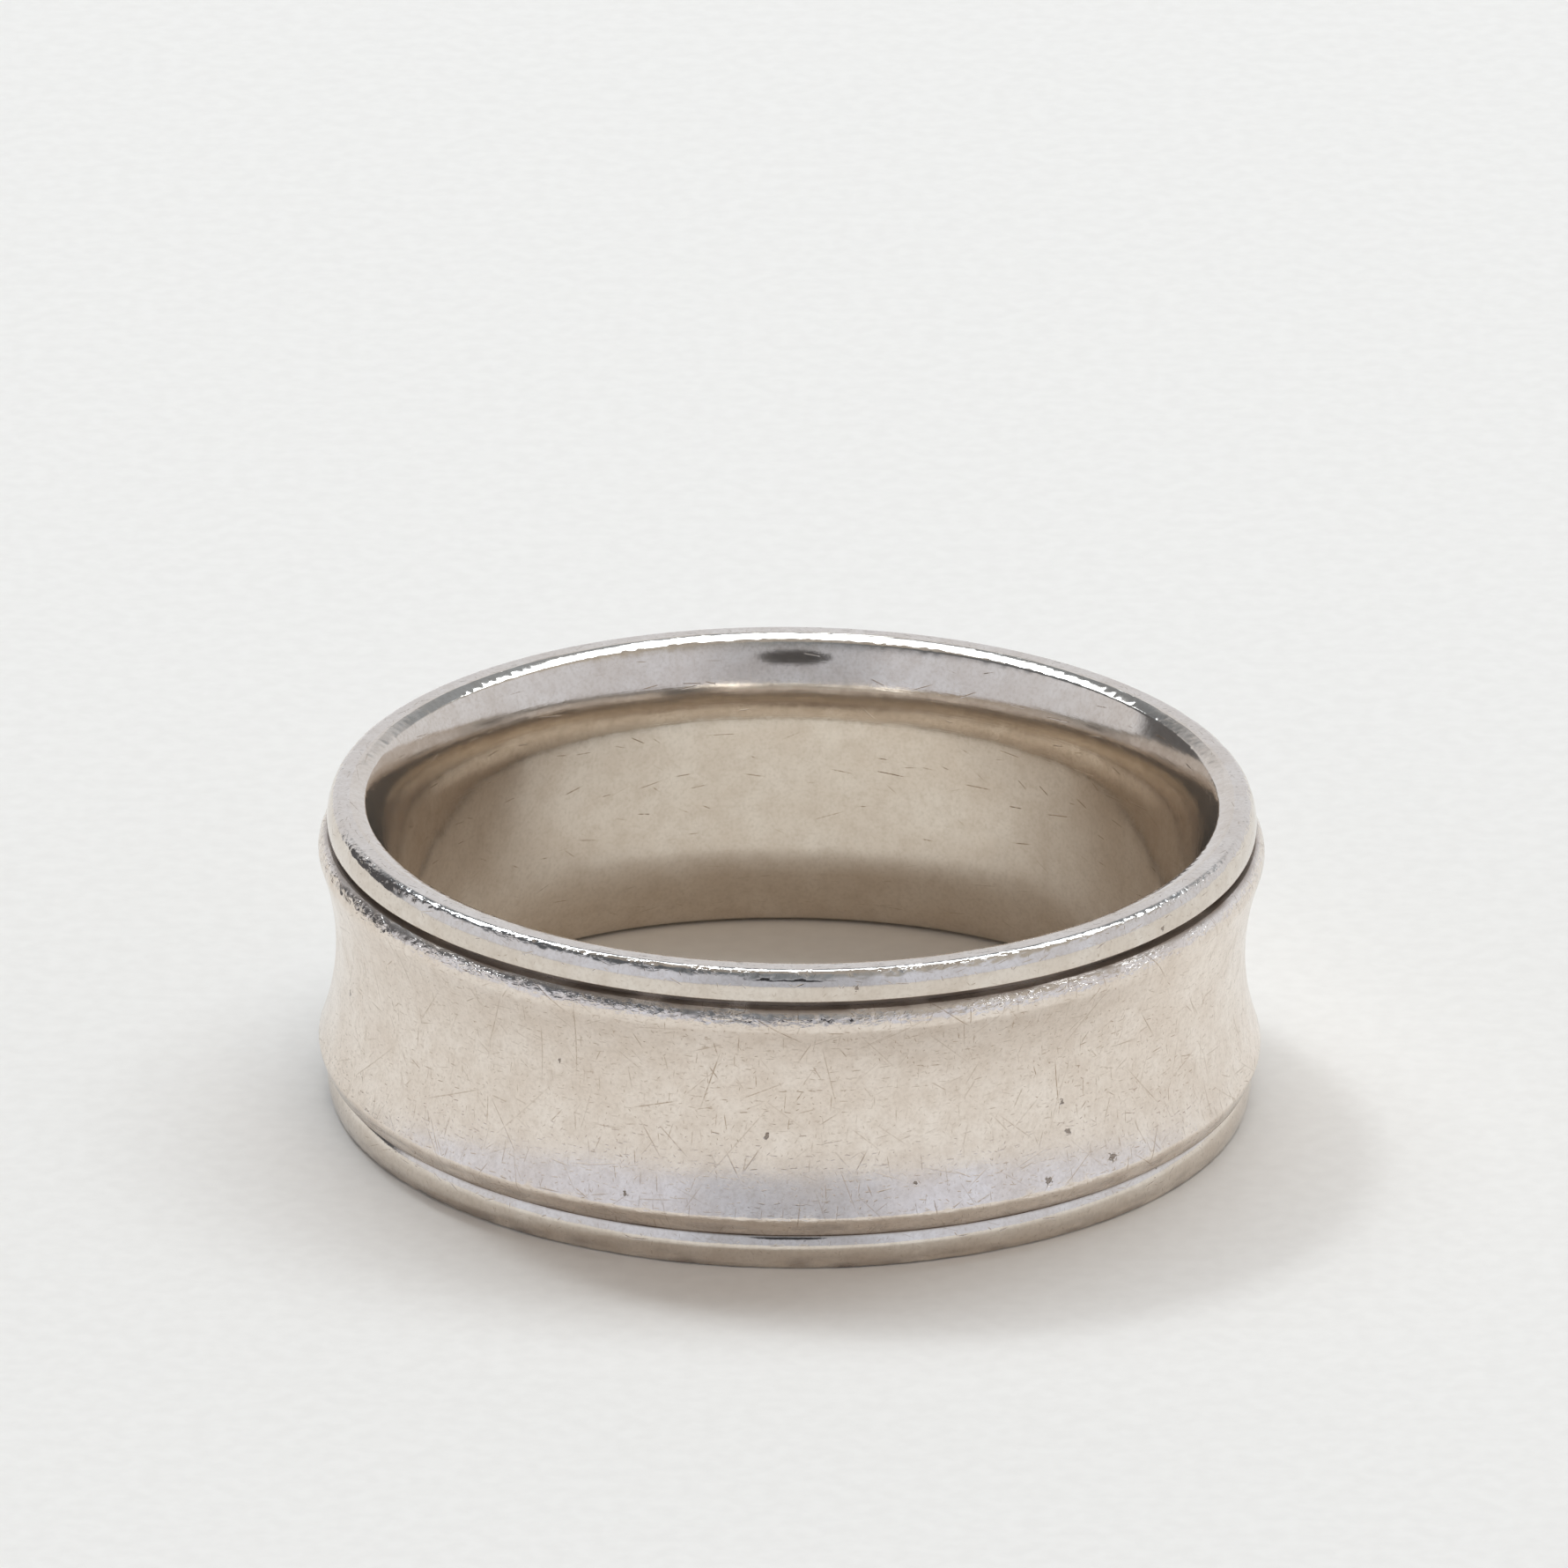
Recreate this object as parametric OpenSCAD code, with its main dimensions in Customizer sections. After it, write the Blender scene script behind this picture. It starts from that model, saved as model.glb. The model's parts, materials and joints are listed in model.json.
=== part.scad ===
// Concave wedding band, built up from a liner, a hollow-faced jacket and two edge rings.
// The bore runs along +Z, and the band rests on its lower face at z = 0.

/* [Band] */
// Width of the band, from face to face
band_width = 7.0; // [6:0.1:9]
// Finger diameter at the middle of the bore
bore_d = 18.1; // [14:0.1:24]

/* [Inner sleeve] */
// Wall of the sleeve at the middle of the bore
sleeve_wall = 0.75; // [0.7:0.01:0.9]
// Length of the straight land at the middle of the bore
bore_land = 3.4; // [2.5:0.1:4]
// Extra radius of the bore at each face, for comfort
bore_flare = 0.47; // [0.3:0.01:0.55]
// Chamfer that breaks the edge of the bore
bore_chamfer = 0.04; // [0.02:0.01:0.06]

/* [Concave band] */
// Wall of the jacket at its waist
waist_wall = 0.3; // [0.25:0.01:0.6]
// How far the crests stand out beyond the waist
crest_rise = 0.39; // [0.3:0.01:0.42]
// Radius that rounds each crest
crest_round = 0.3; // [0.2:0.01:0.35]
// Distance from each face to the outermost line of the nearer crest
crest_inset = 1.25; // [1.15:0.01:1.3]
// Tilt of the bevel between each crest and its seam, in degrees
bevel_tilt = 25; // [15:1:35]
// Distance from each face to the jacket's shoulder
shoulder_inset = 0.85; // [0.82:0.01:0.88]

/* [Edge rings] */
// Wall of an edge ring, from the sleeve to its outermost line
rail_wall = 0.5; // [0.5:0.01:0.6]
// Height of the bead on an edge ring
rail_height = 0.78; // [0.76:0.01:0.8]
// Radius of the bead's outer side
bead_radius = 0.85; // [0.8:0.01:1]
// Distance from the face to the bead's outermost line
bead_inset = 0.4; // [0.36:0.01:0.44]
// Radius that rounds the bead's edge at the face
bead_corner = 0.1; // [0.06:0.01:0.14]
// Depth of the seam between an edge ring and the jacket
seam_depth = 0.25; // [0.15:0.01:0.3]

/* [Hidden] */
$fn = 240;

mid_height = band_width / 2;
bore_r = bore_d / 2;
seat_r = bore_r + sleeve_wall;
waist_r = seat_r + waist_wall;
crest_r = waist_r + crest_rise;
rail_r = seat_r + rail_wall;

// The flare is an arc that starts square to the axis at the end of the land.
flare_length = (band_width - bore_land) / 2;
flare_radius = (flare_length ^ 2 + bore_flare ^ 2) / (2 * bore_flare);
face_bore_r = bore_r + bore_flare;

// The hollow's arc touches both crest arcs.
crest_center_r = crest_r - crest_round;
crest_to_mid = mid_height - crest_inset;
crest_lead = waist_r - crest_center_r;
hollow_radius = (crest_lead ^ 2 + crest_to_mid ^ 2 - crest_round ^ 2) / (2 * (crest_round - crest_lead));
hollow_join_inset = crest_inset + crest_round * crest_to_mid / (hollow_radius + crest_round);

// The bevel touches the crest's arc and runs down to the shoulder.
bevel_join_r = crest_center_r + crest_round * cos(bevel_tilt);
bevel_join_inset = crest_inset - crest_round * sin(bevel_tilt);
shoulder_r = bevel_join_r - (bevel_join_inset - shoulder_inset) * tan(bevel_tilt);

// The corner arc lies inside the bead's arc and touches both it and the face.
bead_center_r = rail_r - bead_radius;
corner_center_drop = bead_inset - bead_corner;
corner_reach = bead_radius - bead_corner;
corner_center_r = bead_center_r + sqrt(corner_reach ^ 2 - corner_center_drop ^ 2);
corner_join_inset = bead_inset - bead_radius * corner_center_drop / corner_reach;
seam_floor_r = rail_r - seam_depth;

// Section of the sleeve: a flat seat outside, and a land between two flares inside.
module sleeve_section() {
    difference() {
        intersection() {
            translate([bore_r, 0]) square([sleeve_wall, band_width]);
            union() {
                translate([bore_r, flare_length]) square([sleeve_wall, bore_land]);
                for (z = [flare_length, band_width - flare_length])
                    translate([bore_r + flare_radius, z]) circle(flare_radius);
            }
        }
        for (z = [0, band_width])
            translate([face_bore_r, z]) rotate(45) square(bore_chamfer * sqrt(2), center = true);
    }
}

// Section of the jacket's lower side: a rounded crest above a straight bevel and a flat shoulder.
module crest_section() {
    intersection() {
        translate([crest_center_r, crest_inset]) circle(crest_round);
        translate([crest_center_r, bevel_join_inset])
            square([crest_round, hollow_join_inset - bevel_join_inset]);
    }
    polygon([
        [seat_r, shoulder_inset],
        [shoulder_r, shoulder_inset],
        [bevel_join_r, bevel_join_inset],
        [crest_center_r, bevel_join_inset],
        [crest_center_r, hollow_join_inset],
        [seat_r, hollow_join_inset],
    ]);
}

// Section of the jacket: a hollow face that runs out into a crest at each side.
module jacket_section() {
    difference() {
        translate([seat_r, hollow_join_inset])
            square([crest_r - seat_r, band_width - 2 * hollow_join_inset]);
        translate([waist_r + hollow_radius, mid_height]) circle(hollow_radius);
    }
    crest_section();
    translate([0, band_width]) mirror([0, 1]) crest_section();
}

// Section of an edge ring with its face at z = 0: a bead, and a tongue that meets the jacket's shoulder.
module edge_ring_section() {
    intersection() {
        translate([seat_r, corner_join_inset]) square([rail_wall, rail_height - corner_join_inset]);
        translate([bead_center_r, bead_inset]) circle(bead_radius);
    }
    translate([corner_center_r, bead_corner]) circle(bead_corner);
    translate([seat_r, 0]) square([corner_center_r - seat_r, bead_inset]);
    translate([seat_r, bead_inset]) square([seam_floor_r - seat_r, shoulder_inset - bead_inset]);
}

// Comfort-fit liner, full width, that carries the other three rings
module inner_sleeve() {
    color([0.74, 0.71, 0.67]) rotate_extrude() sleeve_section();
}

// Hollow-faced jacket between the two edge rings
module concave_band() {
    color([0.82, 0.79, 0.75]) rotate_extrude() jacket_section();
}

// Bead rail at the lower face
module lower_edge_ring() {
    color([0.77, 0.76, 0.77]) rotate_extrude() edge_ring_section();
}

// Bead rail at the upper face, the lower one turned over
module upper_edge_ring() {
    color([0.77, 0.76, 0.77])
        translate([0, 0, band_width]) mirror([0, 0, 1]) rotate_extrude() edge_ring_section();
}

inner_sleeve();
concave_band();
upper_edge_ring();
lower_edge_ring();
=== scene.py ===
import json
import math

import bpy
import numpy as np
from mathutils import Matrix, Vector


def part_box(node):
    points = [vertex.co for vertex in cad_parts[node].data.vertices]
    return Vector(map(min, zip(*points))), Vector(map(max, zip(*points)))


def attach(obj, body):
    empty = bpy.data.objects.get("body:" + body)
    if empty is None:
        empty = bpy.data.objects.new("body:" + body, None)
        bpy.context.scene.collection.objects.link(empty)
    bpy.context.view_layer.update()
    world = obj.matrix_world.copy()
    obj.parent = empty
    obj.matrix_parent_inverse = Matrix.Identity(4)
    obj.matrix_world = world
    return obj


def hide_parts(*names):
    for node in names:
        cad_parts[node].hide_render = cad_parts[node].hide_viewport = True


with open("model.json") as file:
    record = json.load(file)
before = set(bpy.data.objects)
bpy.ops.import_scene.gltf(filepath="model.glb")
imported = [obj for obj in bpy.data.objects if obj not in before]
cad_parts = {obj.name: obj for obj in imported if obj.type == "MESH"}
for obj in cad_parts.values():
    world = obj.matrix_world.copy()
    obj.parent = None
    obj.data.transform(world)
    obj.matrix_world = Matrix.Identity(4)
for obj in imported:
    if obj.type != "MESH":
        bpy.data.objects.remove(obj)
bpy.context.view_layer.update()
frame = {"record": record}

MM = 0.001
BODY = "root"
TURN_STEPS = 1200        # columns of vertices round the band
REFERENCE_RADIUS = 10.0  # mm, where the skin map's first axis is true to length
SHARP_BEND = math.radians(35)   # a corner of an outline that bends more than this stays sharp


# ---------------------------------------- sizes in mm, from the frame
def extent(node):
    """Lowest z, highest z and outer radius of a CAD node, in mm."""
    low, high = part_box(node)
    return low.z / MM, high.z / MM, high.x / MM


mounts = {m["name"]: m for m in frame["record"]["mounts"]}
bore_r = mounts["finger_bore"]["dims"]["r_mm"]
bore_land = mounts["finger_bore"]["dims"]["length_mm"]
_, width, seat_r = extent("inner_sleeve")
shoulder, _, crest_r = extent("concave_band")
_, rail_tongue, rail_r = extent("lower_edge_ring")
middle = width / 2

# ---------------------------------------- the finished surfaces, in mm and degrees
BORE_FLARE = 0.47
RIM_BENDS = ((0.12, 62), (1.0, 76), (0.1, 90))   # from flare to face: radius, and tilt where each ends
BLEND_START = 10                                 # tilt where a flare passes into its wide bend to the land
BLEND_RADIUS = 5.5
CREST_RISE = 0.39
CREST_AS_MADE = {"round": 0.2, "inset": 1.26, "bevel": 25}   # lower crest, still crisp
CREST_WORN = {"round": 0.42, "inset": 1.21, "bevel": 50}     # upper crest, knocked round
RAIL_HEIGHTS = {"lower_rail": 0.8, "upper_rail": 0.7}
RAIL_CORNERS = {"lower_rail": 0.1, "upper_rail": 0.2}
RAIL_EDGE = 0.05
BEAD_RADIUS = 0.85
BEAD_INSETS = {"lower_rail": 0.4, "upper_rail": 0.5}
SEAM_DEPTH = 0.25

# How many points each stretch of an outline is given.
SLEEVE_POINTS = {"face": 1, "rim": 5, "flare": 10, "blend": 9, "land": 6, "back": 2}
JACKET_POINTS = {"shoulder": 4, "bevel": 5, "crest": 16, "hollow": 13, "back": 2}
RAIL_POINTS = {"face": 4, "corner": 10, "bead": 18, "edge": 6, "ledge": 2, "back": 1}


# ---------------------------------------- outlines, as (radius, height) points in mm
def arc(center, radius, start, end, steps):
    """Points on a circle between two angles in degrees, where 0 points outwards and 90 points up."""
    turns = np.radians(np.linspace(start, end, steps))
    return [(center[0] + radius * math.cos(t), center[1] + radius * math.sin(t)) for t in turns]


def on_normal(point, facing, radius):
    """Center of the arc that passes a point where its surface faces the given angle."""
    turn = math.radians(facing)
    return point[0] - radius * math.cos(turn), point[1] - radius * math.sin(turn)


def line(start, end, steps):
    """Points along a straight stretch, without its two ends."""
    shares = np.linspace(0, 1, steps + 2)[1:-1]
    return [(start[0] + (end[0] - start[0]) * s, start[1] + (end[1] - start[1]) * s) for s in shares]


def turned_over(outline):
    """The same outline at the other face of the band."""
    return [(r, width - z) for r, z in reversed(outline)]


def joined(*stretches):
    """One list of points from several."""
    return [point for stretch in stretches for point in stretch]


def sleeve_outline():
    """Comfort-fit bore: a land between two flares that wear has blended into it, each with a worn rim."""
    points = SLEEVE_POINTS
    flare_length = (width - bore_land) / 2
    flare_radius = (flare_length ** 2 + BORE_FLARE ** 2) / (2 * BORE_FLARE)
    rise = flare_length
    for (radius, tilt), (following, _) in zip(RIM_BENDS, RIM_BENDS[1:] + ((0, 0),)):
        rise -= (radius - following) * math.sin(math.radians(tilt))
    flare_end = math.degrees(math.asin(rise / (flare_radius - RIM_BENDS[0][0])))
    flare_center = (bore_r + flare_radius, width - flare_length)
    flare = arc(flare_center, flare_radius, 180 - flare_end, 180 - BLEND_START, points["flare"])
    blend_center = on_normal(flare[-1], 180 - BLEND_START, BLEND_RADIUS)
    blend = arc(blend_center, BLEND_RADIUS, 180 - BLEND_START, 180, points["blend"])[1:]
    rim, tilt = [flare[0]], flare_end
    for radius, end in RIM_BENDS:
        center = on_normal(rim[0], 180 - tilt, radius)
        rim = arc(center, radius, 180 - end, 180 - tilt, points["rim"])[:-1] + rim
        tilt = end
    face = line((seat_r, width), rim[0], points["face"])
    upper = joined([(seat_r, width)], face, rim, flare[1:], blend)
    lower = turned_over(upper)
    land = line(upper[-1], lower[0], points["land"])
    return joined(upper, land, lower, line(lower[-1], upper[0], points["back"]))


def crest_outline(crest):
    """Shoulder, bevel, crest and half of the hollow, from the seam at the lower side up to the waist."""
    points = JACKET_POINTS
    waist_r = crest_r - CREST_RISE
    rounding, inset, tilt = crest["round"], crest["inset"], crest["bevel"]
    center_r = crest_r - rounding
    lead = waist_r - center_r
    reach = middle - inset
    hollow_radius = (lead ** 2 + reach ** 2 - rounding ** 2) / (2 * (rounding - lead))
    join = math.degrees(math.asin(reach / (hollow_radius + rounding)))
    bend = arc((center_r, inset), rounding, -tilt, join, points["crest"])
    drop = bend[0][1] - shoulder
    corner = (bend[0][0] - drop * math.tan(math.radians(tilt)), shoulder)
    flat = joined([(seat_r, shoulder)], line((seat_r, shoulder), corner, points["shoulder"]), [corner])
    bevel = line(corner, bend[0], points["bevel"])
    hollow_center = (waist_r + hollow_radius, middle)
    hollow = arc(hollow_center, hollow_radius, 180 + join, 180, points["hollow"])[1:]
    return joined(flat, bevel, bend, hollow)


def jacket_outline():
    """Hollow face that runs out into a crest at each side, with a flat shoulder behind it."""
    lower = crest_outline(CREST_AS_MADE)
    upper = turned_over(crest_outline(CREST_WORN))
    back = line((seat_r, width - shoulder), (seat_r, shoulder), JACKET_POINTS["back"])
    return joined(lower, upper[1:], back)


def edge_ring_outline(rail):
    """Bead with a flat face below it and a tongue that runs up to the jacket's shoulder."""
    points = RAIL_POINTS
    rail_height, bead_corner, bead_inset = RAIL_HEIGHTS[rail], RAIL_CORNERS[rail], BEAD_INSETS[rail]
    center_r = rail_r - BEAD_RADIUS
    reach = BEAD_RADIUS - bead_corner
    drop = bead_inset - bead_corner
    corner_r = center_r + math.sqrt(reach ** 2 - drop ** 2)
    corner_turn = math.degrees(math.asin(drop / reach))
    seam_floor = rail_r - SEAM_DEPTH
    face = joined([(seat_r, 0)], line((seat_r, 0), (corner_r, 0), points["face"]))
    corner = arc((corner_r, bead_corner), bead_corner, -90, -corner_turn, points["corner"])
    top_turn = math.degrees(math.asin((rail_height - RAIL_EDGE - bead_inset) / (BEAD_RADIUS - RAIL_EDGE)))
    bead = arc((center_r, bead_inset), BEAD_RADIUS, -corner_turn, top_turn, points["bead"])[1:]
    edge = arc(on_normal(bead[-1], top_turn, RAIL_EDGE), RAIL_EDGE, top_turn, 90, points["edge"])[1:]
    ledge_end = (seam_floor, edge[-1][1])
    ledge = joined(line(edge[-1], ledge_end, points["ledge"]), [ledge_end])
    tongue = [(seam_floor, rail_tongue), (seat_r, rail_tongue)]
    back = line((seat_r, rail_tongue), (seat_r, 0), points["back"])
    return joined(face, corner, bead, edge, ledge, tongue, back)


# ---------------------------------------- turning an outline into a ring
def outline_normals(points):
    """Which way the surface faces at each point of an outline that runs with the metal on its left."""
    after, before = np.roll(points, -1, axis=0), np.roll(points, 1, axis=0)
    tangent = after - before
    normal = np.stack([tangent[:, 1], -tangent[:, 0]], axis=1)
    return normal / np.linalg.norm(normal, axis=1, keepdims=True)


def mark_corners(mesh, points, rows):
    """Marks the edges that run round the band at a sharp corner of the outline."""
    ahead = np.roll(points, -1, axis=0) - points
    heading = np.unwrap(np.arctan2(ahead[:, 1], ahead[:, 0]))
    bend = np.abs((heading - np.roll(heading, 1) + math.pi) % (2 * math.pi) - math.pi)
    corner = bend > SHARP_BEND
    ends = np.empty(len(mesh.edges) * 2, dtype=np.int32)
    mesh.edges.foreach_get("vertices", ends)
    row = ends.reshape(-1, 2) % rows
    sharp = mesh.attributes.new("sharp_edge", "BOOLEAN", "EDGE")
    sharp.data.foreach_set("value", (row[:, 0] == row[:, 1]) & corner[row[:, 0]])


def store(mesh, name, values):
    attribute = mesh.attributes.new(name, "FLOAT", "POINT")
    attribute.data.foreach_set("value", np.clip(values, 0, 1).astype(np.float32).ravel())


def lathe(name, outline, wear, grime_and_shade, knocked):
    """Turns an outline into a closed ring. All three maps are functions of (turn, radius, height, along).
    wear gives mm outwards, and grime and knocked give 0 to 1, or are None; the grime mask holds dirty
    patches and painted shade."""
    points = np.array(outline, float)
    rows = len(points)
    step = np.linalg.norm(np.roll(points, -1, axis=0) - points, axis=1)
    along = np.concatenate([[0], np.cumsum(step)[:-1]])
    turn = (np.arange(TURN_STEPS) / TURN_STEPS)[:, None]
    radius, height = points[None, :, 0], points[None, :, 1]
    shift = wear(turn, radius, height, along[None, :])
    normal = outline_normals(points)
    r = radius + shift * normal[None, :, 0]
    z = np.clip(height + shift * normal[None, :, 1], 0, width)
    angle = turn * 2 * math.pi
    co = np.stack([r * np.cos(angle), r * np.sin(angle), z + 0 * angle], axis=2).reshape(-1, 3) * MM
    i, j = np.meshgrid(np.arange(TURN_STEPS), np.arange(rows), indexing="ij")
    i2, j2 = (i + 1) % TURN_STEPS, (j + 1) % rows
    quads = np.stack([i * rows + j, i2 * rows + j, i2 * rows + j2, i * rows + j2], axis=2).reshape(-1, 4)
    mesh = bpy.data.meshes.new(name)
    mesh.vertices.add(len(co))
    mesh.vertices.foreach_set("co", co.astype(np.float32).ravel())
    mesh.loops.add(quads.size)
    mesh.loops.foreach_set("vertex_index", quads.astype(np.int32).ravel())
    mesh.polygons.add(len(quads))
    mesh.polygons.foreach_set("loop_start", np.arange(0, quads.size, 4, dtype=np.int32))
    mesh.update(calc_edges=True)
    mesh.polygons.foreach_set("use_smooth", np.ones(len(quads), bool))
    mark_corners(mesh, points, rows)
    around = 2 * math.pi * REFERENCE_RADIUS / TURN_STEPS
    u = np.stack([i, i + 1, i + 1, i], axis=2) * around
    end = along[j] + step[j]
    v = np.stack([along[j], along[j], end, end], axis=2)
    skin = mesh.uv_layers.new(name="skin")
    skin.data.foreach_set("uv", np.stack([u, v], axis=3).astype(np.float32).ravel())
    for mask_name, mask in (("grime_and_shade", grime_and_shade), ("knocked", knocked)):
        if mask:
            store(mesh, mask_name, mask(turn, radius, height, along[None, :]) + 0 * turn)
    mesh.validate()
    piece = bpy.data.objects.new(name, mesh)
    bpy.context.scene.collection.objects.link(piece)
    return piece


# ---------------------------------------- wear, dirty patches, painted shade and knocks, in mm
SEEDS = {"sleeve": 11, "jacket": 23, "lower_rail": 31, "upper_rail": 32, "jacket_grime_and_shade": 5, "rail_grime_and_shade": 6,
         "jacket_knocks": 41, "rail_knocks": 42}

# Gentle waves: depth, cells round the band, and distance between rows of cells along the outline.
SLEEVE_WAVES = ((0.004, 60, 1.2), (0.001, 240, 0.4))
JACKET_WAVES = ((0.005, 48, 1.4), (0.0016, 200, 0.45))
RAIL_WAVES = ((0.003, 70, 0.9), (0.0012, 260, 0.4))

# Knocks and the smaller nicks: cells, distance between rows, and how high the noise is where a dent begins.
JACKET_KNOCKS = (260, 0.2, 0.25)
RAIL_KNOCKS = (240, 0.15, 0.2)
SLEEVE_NICKS = (520, 0.09, 0.1)
JACKET_NICKS = (600, 0.09, 0.1)
RAIL_NICKS = (620, 0.08, 0.1)

# Edges that are knocked: height, spread, depth of the knocks and depth of the nicks.
BORE_MOUTH = (width - 0.07, 0.07, 0, 0.010)
UPPER_CREST = (width - 1.05, 0.2, 0.018, 0.026)
LOWER_CREST = (1.28, 0.08, 0.016, 0.010)
LOWER_CORNER = (0.04, 0.07, 0.018, 0.016)
UPPER_CORNER = (width - 0.06, 0.09, 0.018, 0.016)

# Edges that look knocked: height, spread and strength.
BRIGHT_CRESTS = ((width - 1.03, 0.17, 1.0), (1.2, 0.12, 0.35))
BRIGHT_CORNERS = ((width - 0.05, 0.07, 0.6), (0, 0.1, 0.7))

# Bright solder along the upper seam: bearing and spread in degrees, and strength.
SOLDER_SMEARS = ((252.7, 1.5, 0.7), (263.6, 1.4, 1.0), (278.3, 1.1, 0.6), (285.9, 1.3, 0.5))

# Small dirty pits: bearing in degrees, height and size.
FACE_PITS = ((267.3, 3.1, 0.06), (306.0, 3.15, 0.05), (306.7, 2.45, 0.06), (313.0, 1.6, 0.09),
             (303.0, 1.5, 0.07), (285.5, 1.95, 0.04), (240.5, 4.3, 0.04), (250.0, 1.55, 0.05),
             (20.0, 2.7, 0.07), (75.0, 4.1, 0.06), (118.0, 2.2, 0.08), (160.0, 4.6, 0.05),
             (196.0, 3.3, 0.07))
RAIL_PITS = ((322.0, 6.5, 0.05), (278.0, 6.63, 0.05), (48.0, 6.5, 0.06), (170.0, 6.6, 0.05))

# Uneven brightness, and uneven dirty patches with painted shade: middle value and swing of the noise,
# cells, and distance between rows.
CREST_BRIGHTNESS = (0.55, 0.6, 120, 0.5)
CORNER_BRIGHTNESS = (0.5, 0.6, 110, 0.5)
JACKET_SEAM_DIRT_AND_SHADE = (0.7, 0.4, 90, 0.2)
RAIL_SEAM_DIRT_AND_SHADE = (0.75, 0.35, 90, 0.2)

# Dirty spots with painted shade, given like the knocks.
BEVEL_DIRT_AND_SHADE_SPOTS = (150, 0.12, -0.1)
BEAD_DIRT_AND_SHADE_SPOTS = (130, 0.12, -0.45)

# Where dirty patches with painted shade begin and where they are full.
SHOULDER_DIRT_AND_SHADE = (shoulder + 0.1, shoulder)            # distances from the nearer face
CREST_DIRT_AND_SHADE = (crest_r - 0.05, crest_r - 0.15)         # radii
LEDGE_DIRT_AND_SHADE = (0.04, 0.01)                             # distances below the rail's top
BEVEL_DIRT_AND_SHADE = (1.2, 1.1)                               # heights
BEAD_DIRT_AND_CONTACT_SHADE = (0.4, 0.05)                               # heights

# Shares of dirty spots with painted shade on the lower bevel and the lower bead, and how much of the seams'
# darkening solder takes away.
BEVEL_DIRT_AND_SHADE_SHARE = 0.4
BEAD_DIRT_AND_SHADE_SHARE = 0.5
CLEANED_BY_SOLDER = 0.8

# Radii beyond which each of these works, so that the hidden seat and the flat faces near it stay as made.
WORN_JACKET = seat_r + 0.02
WORN_RAIL = seat_r + 0.3
BRIGHT_JACKET = seat_r + 0.4
BRIGHT_RAIL = seat_r + 0.25
DIRTY_SHADED_BEVEL = seat_r + 0.2
PITTED = seat_r + 0.15


def lattice_noise(rng, turn, along, cells, pitch):
    """Smooth noise from -1 to 1 that closes on itself round the band. turn is 0 to 1, along is in mm."""
    rows = int(np.ceil(along.max() / pitch)) + 2
    table = rng.uniform(-1, 1, (rows, cells))
    a, b = turn * cells, along / pitch
    i, j = np.floor(a).astype(int), np.floor(b).astype(int)
    fa, fb = a - i, b - j
    fa, fb = fa * fa * (3 - 2 * fa), fb * fb * (3 - 2 * fb)
    i0, i1 = i % cells, (i + 1) % cells
    low = table[j, i0] * (1 - fa) + table[j, i1] * fa
    high = table[j + 1, i0] * (1 - fa) + table[j + 1, i1] * fa
    return low * (1 - fb) + high * fb


def waves(rng, turn, along, layers):
    """How far the surface waves in and out, in mm."""
    return sum(depth * lattice_noise(rng, turn, along, cells, pitch) for depth, cells, pitch in layers)


def dents(rng, turn, along, cells, pitch, level):
    """Dents or spots: how far the noise is over a level, and 0 where it is under it."""
    return np.maximum(0, lattice_noise(rng, turn, along, cells, pitch) - level)


def ridge(height, at, spread):
    """1 at one height, falling smoothly to 0 on both sides of it."""
    return np.exp(-((height - at) / spread) ** 2)


def ramp(value, start, end):
    """0 at the start and 1 at the end, which may be the lower of the two."""
    return np.clip((value - start) / (end - start), 0, 1)


def uneven(rng, turn, along, even, swing, cells, pitch):
    """A value that varies smoothly over the surface."""
    return even + swing * lattice_noise(rng, turn, along, cells, pitch)


def beyond(radius, limit):
    """1 outside a radius and 0 within it."""
    return np.where(radius > limit, 1.0, 0.0)


def knocked_off(height, edge, knocks, nicks):
    """How much metal an edge has lost, in mm."""
    at, spread, knock_depth, nick_depth = edge
    return ridge(height, at, spread) * (knock_depth * knocks + nick_depth * nicks)


def sleeve_wear(turn, radius, height, along):
    rng = np.random.default_rng(SEEDS["sleeve"])
    bore = 1 - beyond(radius, seat_r - 0.01)
    below_face = np.where(height > width - 0.001, 0, 1)
    gentle = waves(rng, turn, along, SLEEVE_WAVES)
    nicks = dents(rng, turn, along, *SLEEVE_NICKS)
    return bore * (gentle * below_face - knocked_off(height, BORE_MOUTH, 0, nicks))


def jacket_wear(turn, radius, height, along):
    rng = np.random.default_rng(SEEDS["jacket"])
    outside = beyond(radius, WORN_JACKET)
    wobble = waves(rng, turn, along, JACKET_WAVES)
    knocks = dents(rng, turn, along, *JACKET_KNOCKS)
    nicks = dents(rng, turn, along, *JACKET_NICKS)
    upper = knocked_off(height, UPPER_CREST, knocks, nicks)
    lower = knocked_off(height, LOWER_CREST, knocks, nicks)
    return outside * (wobble - upper - lower)


def rail_wear(rail):
    """The wear of one rail, which has metal at only one of the two corners."""
    def wear(turn, radius, height, along):
        rng = np.random.default_rng(SEEDS[rail])
        outside = beyond(radius, WORN_RAIL)
        wobble = waves(rng, turn, along, RAIL_WAVES)
        knocks = dents(rng, turn, along, *RAIL_KNOCKS)
        nicks = dents(rng, turn, along, *RAIL_NICKS)
        lower = knocked_off(height, LOWER_CORNER, knocks, nicks)
        upper = knocked_off(height, UPPER_CORNER, knocks, nicks)
        return outside * (wobble - lower - upper)
    return wear


def jacket_knocks(turn, radius, height, along):
    rng = np.random.default_rng(SEEDS["jacket_knocks"])
    brightness = uneven(rng, turn, along, *CREST_BRIGHTNESS)
    crests = sum(strength * ridge(height, at, spread) for at, spread, strength in BRIGHT_CRESTS)
    return beyond(radius, BRIGHT_JACKET) * brightness * crests


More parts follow.
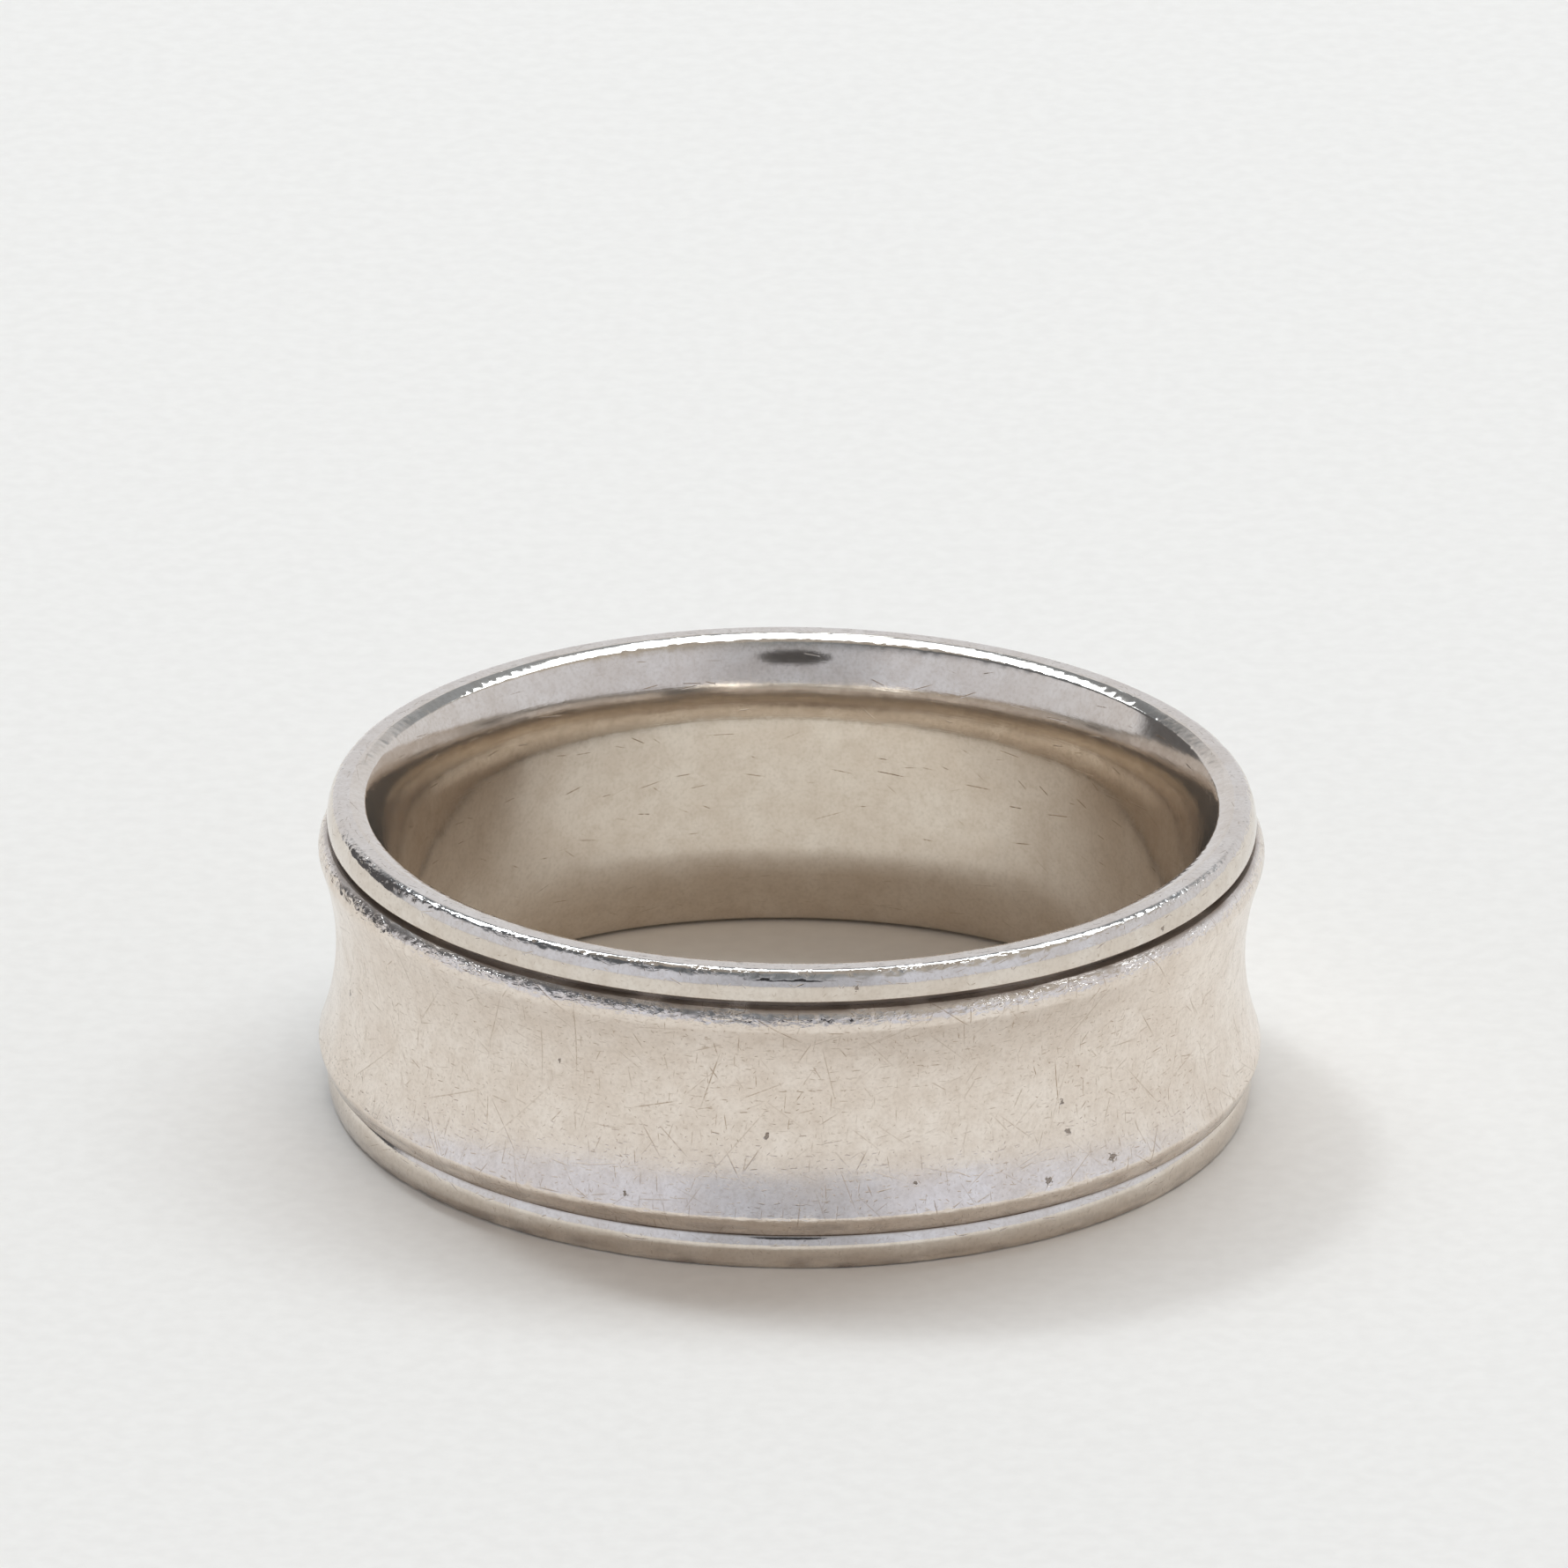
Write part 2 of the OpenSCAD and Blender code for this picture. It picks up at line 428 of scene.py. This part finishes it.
def rail_knocks(turn, radius, height, along):
    rng = np.random.default_rng(SEEDS["rail_knocks"])
    brightness = uneven(rng, turn, along, *CORNER_BRIGHTNESS)
    corners = sum(strength * ridge(height, at, spread) for at, spread, strength in BRIGHT_CORNERS)
    return beyond(radius, BRIGHT_RAIL) * brightness * corners


def solder(turn):
    """Where the upper seam is filled with solder, 0 to 1."""
    bearing = turn * 360
    return sum(strength * np.exp(-((bearing - at) / spread) ** 4) for at, spread, strength in SOLDER_SMEARS)


def jacket_grime_and_shade(turn, radius, height, along):
    """Dirty seams with painted shade in them, but less where there is solder, and dirty spots with painted
    shade on the lower bevel, which faces down under the crest.
    """
    rng = np.random.default_rng(SEEDS["jacket_grime_and_shade"])
    near_face = middle - abs(height - middle)
    # Painted shade with dirty patches, darkening the seams where the jacket meets the rails.
    in_seam = ramp(near_face, *SHOULDER_DIRT_AND_SHADE) * ramp(radius, *CREST_DIRT_AND_SHADE)
    amount = uneven(rng, turn, along, *JACKET_SEAM_DIRT_AND_SHADE)
    clean = np.where(height > middle, solder(turn), 0)
    # Painted shade with dirty spots on the lower bevel, which faces down under the crest.
    on_bevel = ramp(height, *BEVEL_DIRT_AND_SHADE) * beyond(radius, DIRTY_SHADED_BEVEL)
    spots = dents(rng, turn, along, *BEVEL_DIRT_AND_SHADE_SPOTS)
    left = 1 - CLEANED_BY_SOLDER * clean
    return np.maximum(in_seam * amount * left, BEVEL_DIRT_AND_SHADE_SHARE * on_bevel * spots)


def rail_grime_and_shade(turn, radius, height, along):
    """Dirty seam with painted shade in it, and painted contact shade in dirty spots on the lower rail,
    darker towards the floor.
    """
    rng = np.random.default_rng(SEEDS["rail_grime_and_shade"])
    near_face = middle - abs(height - middle)
    top = np.where(height > middle, RAIL_HEIGHTS["upper_rail"], RAIL_HEIGHTS["lower_rail"])
    # Painted shade with dirty patches, darkening the seam just below the rail's top.
    in_seam = ramp(near_face, top - LEDGE_DIRT_AND_SHADE[0], top - LEDGE_DIRT_AND_SHADE[1])
    amount = uneven(rng, turn, along, *RAIL_SEAM_DIRT_AND_SHADE)
    # Painted contact shade in dirty spots, darker towards the floor.
    below = ramp(height, *BEAD_DIRT_AND_CONTACT_SHADE) * beyond(radius, WORN_RAIL)
    spots = dents(rng, turn, along, *BEAD_DIRT_AND_SHADE_SPOTS)
    return np.maximum(in_seam * amount, BEAD_DIRT_AND_SHADE_SHARE * below * spots)


def skin_spots(outline, spots):
    """Where spots given by bearing and height lie on the skin map of an outline's outer side."""
    points = np.array(outline, float)
    along = np.concatenate([[0], np.cumsum(np.linalg.norm(np.diff(points, axis=0), axis=1))])
    outer = np.flatnonzero(points[:, 0] > PITTED)
    order = outer[np.argsort(points[outer, 1])]
    placed = []
    for bearing, level, size in spots:
        up_skin = float(np.interp(level, points[order, 1], along[order]))
        placed.append((math.radians(bearing) * REFERENCE_RADIUS, up_skin, size))
    return placed


# ---------------------------------------- materials
SCRATCH_DEPTH = 0.003    # mm
PIT_DEPTH = 0.03         # mm
CHIP_DEPTH = 0.013       # mm, on the knocked edges

# Noise in the metal, as scale and detail. The first three scales are for metres, and the others for the
# millimetres of the skin map.
CLOUD = (900.0, 5.0)
BLOTCH = (3200.0, 4.0)
SPECK = (12000.0, 2.0)
SCRATCH_PATCHES = (0.45, 2.0)
SCRATCH_GAPS = (9.0, 2.0)
RAGGED_PITS = (16.0, 1.0)
CHIP_STRETCH = (7.0, 15.0, 1)     # chips are about twice as long round the band as across it
CHIP_DETAIL = 2.5
TOOL_STRETCH = (0.15, 30, 1)      # fine lines left by turning and polishing, all round the band
TOOL_DETAIL = 3.0

# Darker tones of the metal, for cloud, blotch and speck: the noise where a tone begins and where it is
# full, its largest share, and how light and how warm it is. Scratches have a tone of their own.
TONES = ((0.35, 0.65, 1.0, 0.92, 0.025), (0.45, 0.72, 0.5, 0.80, 0.04), (0.45, 0.75, 0.35, 0.66, 0.05))
SCRATCH_TONE = (0.43, 0.09)

# Ranges carried over to other ranges, or to 0 to 1 where only two numbers are given.
PATCHES_TO_STRENGTH = (0.38, 0.60, 0.65, 1.0)
GAPS_TO_STRENGTH = (0.36, 0.50, 0.5, 1.0)
NOISE_TO_PIT_STRETCH = (0.35, 0.65, 0.6, 1.5)
NOISE_TO_CHIPS = (0.48, 0.72)
KNOCKED_TO_POLISH = (0.1, 0.5, 1.0, 0.4)
NOISE_TO_PAPER = (0.35, 0.65)

CLOUD_RANGE = (0.3, 0.7)
ROUGHNESS_SWING = (0.8, 1.25)    # times a metal's roughness
SCRATCH_ROUGHNESS = 0.12
DIRT_AND_SHADE_ROUGHNESS = 0.3
PIT_DIRT = 0.75
LINER_METALLIC = 0.93
DIRT_AND_SHADE_METALLIC = 0.5

# Each set of scratches: cell, longest length and half-breadth in mm, share of cells with one, lean in
# degrees, spread of the lean from 0 to 1, and a shift in mm, so that the cells of two sets don't line up.
LINER_SCRATCHES = ((0.6, 0.5, 0.013, 0.3, 10, 0.3, 0.0), (1.1, 1.0, 0.014, 0.3, -8, 0.2, 3.1))
JACKET_SCRATCHES = ((0.15, 0.11, 0.013, 0.65, 0, 1.0, 0.0), (0.26, 0.22, 0.015, 0.6, 0, 0.12, 4.1),
                    (0.5, 0.46, 0.015, 0.4, 90, 0.12, 6.3), (0.55, 0.5, 0.017, 0.65, 0, 1.0, 1.7),
                    (1.2, 1.15, 0.019, 0.85, 30, 1.0, 8.9), (1.7, 1.6, 0.018, 0.75, 60, 0.4, 21.3),
                    (2.6, 2.5, 0.021, 0.6, -60, 0.5, 12.7))
RAIL_SCRATCHES = ((0.2, 0.14, 0.013, 0.5, 0, 1.0, 0.0), (0.5, 0.45, 0.015, 0.5, 0, 0.3, 2.3))

# Dirty brown, which the grime masks also use to paint shade in the seams, on the lower bevel and towards
# the floor.
DIRT_AND_SHADE = (0.24, 0.18, 0.135)
PAPER = ((0.816, 0.767, 0.694), (0.844, 0.796, 0.722))
PAPER_GRAIN = (2200.0, 5.0)
NEAR_BLACK = (0.03, 0.03, 0.035)


def rgba(color):
    return (*color, 1.0)


class Nodes:
    """Short helpers for building one node tree."""

    def __init__(self, tree):
        self.tree = tree
        tree.nodes.clear()

    def add(self, kind, inputs=None, **settings):
        node = self.tree.nodes.new(kind)
        for key, value in settings.items():
            setattr(node, key, value)
        for key, value in (inputs or {}).items():
            if isinstance(value, bpy.types.NodeSocket):
                self.tree.links.new(value, node.inputs[key])
            else:
                node.inputs[key].default_value = value
        return node

    def math(self, operation, a, b=0.0):
        return self.add("ShaderNodeMath", {0: a, 1: b}, operation=operation).outputs[0]

    def vector(self, operation, a, b=None):
        inputs = {0: a} if b is None else {0: a, 1: b}
        node = self.add("ShaderNodeVectorMath", inputs, operation=operation)
        return node.outputs["Value" if operation in ("DOT_PRODUCT", "DISTANCE") else "Vector"]

    def span(self, value, low, high, to_low=0.0, to_high=1.0):
        """Carries a value from one range over to another, and holds it at the ends."""
        names = {"Value": value, "From Min": low, "From Max": high, "To Min": to_low, "To Max": to_high}
        return self.add("ShaderNodeMapRange", names).outputs[0]

    def mix(self, share, a, b):
        return self.add("ShaderNodeMix", {0: share, 6: a, 7: b}, data_type="RGBA").outputs[2]

    def noise(self, place, scale, detail, dimensions="3D"):
        inputs = {"Vector": place, "Scale": scale, "Detail": detail}
        return self.add("ShaderNodeTexNoise", inputs, noise_dimensions=dimensions).outputs["Fac"]

    def stretched_noise(self, skin, stretch, detail):
        """Noise on the skin map with its own scale along each axis."""
        place = self.add("ShaderNodeMapping", {"Vector": skin, "Scale": stretch}).outputs[0]
        return self.noise(place, 1.0, detail, "2D")

    def mask(self, name):
        return self.add("ShaderNodeAttribute", attribute_name=name).outputs["Fac"]


def new_material(name):
    material = bpy.data.materials.new(name)
    material.use_nodes = True
    return material, Nodes(material.node_tree)


def scratches(n, skin, cell, length, breadth, share, lean_deg, spread, shift):
    """Straight scratches, at most one in each cell of the skin map (mm): 1 on a scratch and 0 elsewhere."""
    place = n.add("ShaderNodeMapping", {"Vector": skin, "Location": (shift, shift * 0.7, 0)}).outputs[0]
    cells = n.add("ShaderNodeTexVoronoi", {"Vector": place, "Scale": 1.0 / cell}, voronoi_dimensions="2D")
    away = n.vector("SUBTRACT", place, cells.outputs["Position"])
    dice = n.add("ShaderNodeSeparateColor", {0: cells.outputs["Color"]}).outputs
    lean = math.radians(lean_deg)
    swing = math.pi / 2 * spread
    angle = n.span(dice[0], 0, 1, lean - swing, lean + swing)
    turned = n.add("ShaderNodeVectorRotate", {"Vector": away, "Angle": angle}, rotation_type="Z_AXIS")
    parts = n.add("ShaderNodeSeparateXYZ", {0: turned.outputs[0]}).outputs
    across = n.span(n.math("ABSOLUTE", parts[1]), 0, breadth, 1, 0)
    reach = n.span(dice[2], 0, 1, length * 0.25, length * 0.5)
    past_end = n.math("SUBTRACT", n.math("ABSOLUTE", parts[0]), reach)
    along = n.span(past_end, -0.2 * length, 0, 1, 0)
    there = n.math("LESS_THAN", dice[1], share)
    strength = n.math("MULTIPLY", there, n.span(dice[1], 0, share, 1.0, 0.3))
    return n.math("MULTIPLY", n.math("MULTIPLY", across, along), strength)


def scratch_marks(n, skin, scratch_sets):
    """All the sets of scratches together, fainter in some patches and broken up along their length."""
    marks = None
    for settings in scratch_sets:
        lines = scratches(n, skin, *settings)
        marks = lines if marks is None else n.math("MAXIMUM", marks, lines)
    patches = n.noise(skin, *SCRATCH_PATCHES, "2D")
    gaps = n.noise(skin, *SCRATCH_GAPS, "2D")
    marks = n.math("MULTIPLY", marks, n.span(patches, *PATCHES_TO_STRENGTH))
    return n.math("MULTIPLY", marks, n.span(gaps, *GAPS_TO_STRENGTH))


def pit_mask(n, skin, spots):
    """1 in each pit of the skin map, with a ragged edge."""
    ragged = n.noise(skin, *RAGGED_PITS, "2D")
    stretch = n.span(ragged, *NOISE_TO_PIT_STRETCH)
    total = None
    for u, v, size in spots:
        away = n.vector("DISTANCE", skin, (u, v, 0))
        spot = n.span(n.math("MULTIPLY", away, stretch), size * 0.6, size, 1, 0)
        total = spot if total is None else n.math("MAXIMUM", total, spot)
    return total


def shade(color, amount, warmth):
    """A darker and warmer version of a metal's color."""
    return rgba([c * (amount - warmth * step) for c, step in zip(color, (0, 1, 2))])


def worn_metal(name, color, roughness, scratch_sets, grain, tool_lines, spots=()):
    """Bare white metal: uneven polish, scratches, and grain and tool_lines of those heights in mm.
    Metal with spots, which are its pits, also has knocked edges, and dark brown paint in dirty pits and
    where its grime mask says, for dirty patches and painted shade."""
    material, n = new_material(name)
    skin = n.add("ShaderNodeUVMap", uv_map="skin").outputs[0]
    place = n.add("ShaderNodeTexCoord").outputs["Object"]
    cloud, blotch, speck = [n.noise(place, *size) for size in (CLOUD, BLOTCH, SPECK)]
    marks = scratch_marks(n, skin, scratch_sets)
    height = n.math("SUBTRACT", n.math("MULTIPLY", speck, grain), n.math("MULTIPLY", marks, SCRATCH_DEPTH))
    if tool_lines:
        rings = n.stretched_noise(skin, TOOL_STRETCH, TOOL_DETAIL)
        height = n.math("ADD", height, n.math("MULTIPLY", rings, tool_lines))
    base = rgba(color)
    for noise, (start, full, most, amount, warmth) in zip((cloud, blotch, speck), TONES):
        base = n.mix(n.span(noise, start, full, 0, most), base, shade(color, amount, warmth))
    base = n.mix(marks, base, shade(color, *SCRATCH_TONE))
    least, most = ROUGHNESS_SWING
    polish = n.span(cloud, *CLOUD_RANGE, roughness * least, roughness * most)
    rough = n.math("ADD", polish, n.math("MULTIPLY", marks, SCRATCH_ROUGHNESS))
    metallic = LINER_METALLIC
    if spots:
        knocked = n.mask("knocked")
        chips = n.span(n.stretched_noise(skin, CHIP_STRETCH, CHIP_DETAIL), *NOISE_TO_CHIPS)
        height = n.math("ADD", height, n.math("MULTIPLY", n.math("MULTIPLY", chips, knocked), CHIP_DEPTH))
        rough = n.math("MULTIPLY", rough, n.span(knocked, *KNOCKED_TO_POLISH))
        pit = pit_mask(n, skin, spots)
        height = n.math("SUBTRACT", height, n.math("MULTIPLY", pit, PIT_DEPTH))
        # Dark brown paint: dirty pits, and the grime mask's dirty patches and painted shade.
        dirt_and_shade = n.math("MAXIMUM", n.mask("grime_and_shade"), n.math("MULTIPLY", pit, PIT_DIRT))
        base = n.mix(dirt_and_shade, base, rgba(DIRT_AND_SHADE))
        rough = n.math("ADD", rough, n.math("MULTIPLY", dirt_and_shade, DIRT_AND_SHADE_ROUGHNESS))
        metallic = n.span(dirt_and_shade, 0, 1, 1.0, DIRT_AND_SHADE_METALLIC)
    bump = n.add("ShaderNodeBump", {"Height": height, "Strength": 1.0, "Distance": MM})
    shader = n.add("ShaderNodeBsdfPrincipled", {
        "Base Color": base, "Roughness": rough, "Metallic": metallic, "Normal": bump.outputs[0]})
    n.add("ShaderNodeOutputMaterial", {"Surface": shader.outputs[0]})
    return material


def paper_floor():
    material, n = new_material("pale_card")
    place = n.add("ShaderNodeTexCoord").outputs["Object"]
    grain = n.noise(place, *PAPER_GRAIN)
    color = n.mix(n.span(grain, *NOISE_TO_PAPER), rgba(PAPER[0]), rgba(PAPER[1]))
    shader = n.add("ShaderNodeBsdfPrincipled", {
        "Base Color": color, "Roughness": 0.9, "Specular IOR Level": 0.1})
    n.add("ShaderNodeOutputMaterial", {"Surface": shader.outputs[0]})
    return material


def matt_black():
    material, n = new_material("card_black")
    shader = n.add("ShaderNodeBsdfPrincipled", {"Base Color": rgba(NEAR_BLACK), "Roughness": 0.8})
    n.add("ShaderNodeOutputMaterial", {"Surface": shader.outputs[0]})
    return material


# ---------------------------------------- camera, seen from the front and 23 degrees up
CAMERA_RISE = math.radians(23.1)
CAMERA_DISTANCE = 0.390
CAMERA_ROLL = math.radians(0.5)
FRAME_WIDTH = 0.03497                  # metres across the picture at the band
AIM_RIGHT, AIM_UP = -0.00018, 0.00671  # metres from the origin to the middle of the picture
SENSOR = 36.0
NEAREST, FARTHEST = 0.01, 100

aim = Vector((AIM_RIGHT, 0, 0)) + AIM_UP * Vector((0, math.sin(CAMERA_RISE), math.cos(CAMERA_RISE)))
to_camera = Vector((0, -math.cos(CAMERA_RISE), math.sin(CAMERA_RISE)))
camera_data = bpy.data.cameras.new("camera")
camera_data.sensor_width = SENSOR
camera_data.lens = SENSOR * CAMERA_DISTANCE / FRAME_WIDTH
camera_data.clip_start = NEAREST
camera_data.clip_end = FARTHEST
camera = bpy.data.objects.new("camera", camera_data)
bpy.context.scene.collection.objects.link(camera)
camera.location = to_camera * CAMERA_DISTANCE
facing = (aim - camera.location).to_track_quat("-Z", "Y").to_matrix().to_4x4()
camera.matrix_world = Matrix.Translation(camera.location) @ facing @ Matrix.Rotation(CAMERA_ROLL, 4, "Z")
bpy.context.scene.camera = camera


# ---------------------------------------- pieces
sleeve_line = sleeve_outline()
jacket_line = jacket_outline()
lower_line = edge_ring_outline("lower_rail")
upper_line = turned_over(edge_ring_outline("upper_rail"))
lower_wear = rail_wear("lower_rail")
upper_wear = rail_wear("upper_rail")

METALS = {
    "sleeve_metal": worn_metal(
        "sleeve_metal", color=(0.775, 0.70, 0.61), roughness=0.10, scratch_sets=LINER_SCRATCHES,
        grain=0.0006, tool_lines=0.0003),
    "band_metal": worn_metal(
        "band_metal", color=(0.865, 0.79, 0.715), roughness=0.19, scratch_sets=JACKET_SCRATCHES,
        grain=0.0012, tool_lines=0.0, spots=skin_spots(jacket_line, FACE_PITS)),
    "rail_metal": worn_metal(
        "rail_metal", color=(0.78, 0.72, 0.65), roughness=0.065, scratch_sets=RAIL_SCRATCHES,
        grain=0.0009, tool_lines=0.0006, spots=skin_spots(upper_line, RAIL_PITS)),
}

for name, node, slot, outline, wear, grime_and_shade, knocked in (
    ("comfort_sleeve", "inner_sleeve", "sleeve_metal", sleeve_line, sleeve_wear, None, None),
    ("hollow_jacket", "concave_band", "band_metal", jacket_line, jacket_wear, jacket_grime_and_shade, jacket_knocks),
    ("lower_rail", "lower_edge_ring", "rail_metal", lower_line, lower_wear, rail_grime_and_shade, rail_knocks),
    ("upper_rail", "upper_edge_ring", "rail_metal", upper_line, upper_wear, rail_grime_and_shade, rail_knocks),
):
    piece = lathe(name, outline, wear, grime_and_shade, knocked)
    piece.data.materials.append(METALS[slot])
    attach(piece, BODY)
    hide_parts(node)


# ---------------------------------------- studio, in metres
FLOOR_HALF = 20.0
CARD_HALF = (0.065, 0.038)
CARD_BEHIND_CAMERA = 0.02
CARD_CORNER_STEP = 10      # degrees between the corners of the oval card


def flat_piece(name, corners, material):
    mesh = bpy.data.meshes.new(name)
    mesh.from_pydata(corners, [], [tuple(range(len(corners)))])
    mesh.materials.append(material)
    flat = bpy.data.objects.new(name, mesh)
    bpy.context.scene.collection.objects.link(flat)
    return flat


square = [(-FLOOR_HALF, -FLOOR_HALF, 0), (FLOOR_HALF, -FLOOR_HALF, 0),
          (FLOOR_HALF, FLOOR_HALF, 0), (-FLOOR_HALF, FLOOR_HALF, 0)]
floor = flat_piece("floor", square, paper_floor())

turns = [math.radians(a) for a in range(0, 360, CARD_CORNER_STEP)]
oval = [(CARD_HALF[0] * math.cos(a), CARD_HALF[1] * math.sin(a), 0) for a in turns]
card = flat_piece("dark_card", oval, matt_black())
card.matrix_world = Matrix.Translation(to_camera * (CAMERA_DISTANCE + CARD_BEHIND_CAMERA)) @ facing


def add_light(name, kind, direction, strength, color):
    """A light that shines from a direction towards the origin, with its settings still to be made."""
    data = bpy.data.lights.new(name, kind)
    data.energy = strength
    data.color = color
    light = bpy.data.objects.new(name, data)
    light.rotation_euler = Vector(direction).to_track_quat("Z", "Y").to_euler()
    bpy.context.scene.collection.objects.link(light)
    return light


def sun(name, direction, strength, breadth_deg, color):
    light = add_light(name, "SUN", direction, strength, color)
    light.data.angle = math.radians(breadth_deg)


def softbox(name, place, size, strength, color):
    light = add_light(name, "AREA", place, strength, color)
    light.location = place
    light.data.shape = "RECTANGLE"
    light.data.size, light.data.size_y = size
    return light


COOL_SUN, COOL_WINDOW, WARM_ROOM = (0.86, 0.96, 1.08), (0.84, 0.96, 1.10), (1.0, 0.68, 0.38)

sun("key", direction=(-0.342, 0.448, 0.826), strength=0.5, breadth_deg=8, color=COOL_SUN)
softbox("window", place=(0.06, 0.52, 1.05), size=(1.8, 0.45), strength=10.5, color=COOL_WINDOW)
fill = softbox("warm_fill", place=(0.1, -0.45, 1.05), size=(0.7, 0.7), strength=1.1, color=WARM_ROOM)
fill.visible_glossy = False


# ---------------------------------------- the room that the metal mirrors
HORIZON_FRONT, HORIZON_BACK = (0.72, 0.77, 0.90), (0.80, 0.83, 0.90)
BEHIND_CAMERA = (0.36, 0.39, 0.45)
WALLS_LEFT, WALLS_RIGHT = (0.125, 0.14, 0.165), (0.295, 0.335, 0.385)
FRONT_RIGHT_WALL = (0.54, 0.525, 0.50)
CEILING = (0.44, 0.42, 0.40)

# Patches: level direction, cosines of the angle from it where one begins and is full, largest share, tone.
HORIZON_PATCHES = (((0, -1, 0), 0.88, 0.97, 0.5, BEHIND_CAMERA),
                   ((-0.84, 0.545, 0), 0.955, 0.98, 0.9, NEAR_BLACK))
WALL_PATCHES = (((1, 0, 0), -0.7, 0.1, 1.0, WALLS_RIGHT),
                ((0.94, -0.34, 0), 0.4, 0.95, 1.0, FRONT_RIGHT_WALL))

# Where each part of the room begins and is full: y of the view for the horizon's back, z for the others.
HORIZON_BACK_FROM = (-0.9, 0.9)
WALLS_FROM = (0.42, 0.60)
CEILING_FROM = (0.82, 0.96)


def room():
    """Tones of a plain room: a light horizon with a dark corner at the back left, dimmer walls above it,
    and a ceiling."""
    world = bpy.data.worlds.new("studio")
    world.use_nodes = True
    n = Nodes(world.node_tree)
    way = n.add("ShaderNodeTexCoord").outputs["Generated"]
    split = n.add("ShaderNodeSeparateXYZ", {0: way}).outputs
    level = n.vector("NORMALIZE", n.add("ShaderNodeCombineXYZ", {0: split[0], 1: split[1]}).outputs[0])

    def patched(tone, patches):
        for direction, start, full, most, color in patches:
            reach = n.span(n.vector("DOT_PRODUCT", level, direction), start, full, 0.0, most)
            tone = n.mix(reach, tone, rgba(color))
        return tone

    horizon = n.mix(n.span(split[1], *HORIZON_BACK_FROM), rgba(HORIZON_FRONT), rgba(HORIZON_BACK))
    horizon = patched(horizon, HORIZON_PATCHES)
    walls = patched(rgba(WALLS_LEFT), WALL_PATCHES)
    tones = n.mix(n.span(split[2], *WALLS_FROM), horizon, walls)
    tones = n.mix(n.span(split[2], *CEILING_FROM), tones, rgba(CEILING))
    sky = n.add("ShaderNodeBackground", {"Color": tones, "Strength": 1.0})
    n.add("ShaderNodeOutputWorld", {"Surface": sky.outputs[0]})
    return world


bpy.context.scene.world = room()
bpy.context.scene.view_settings.view_transform = "Standard"
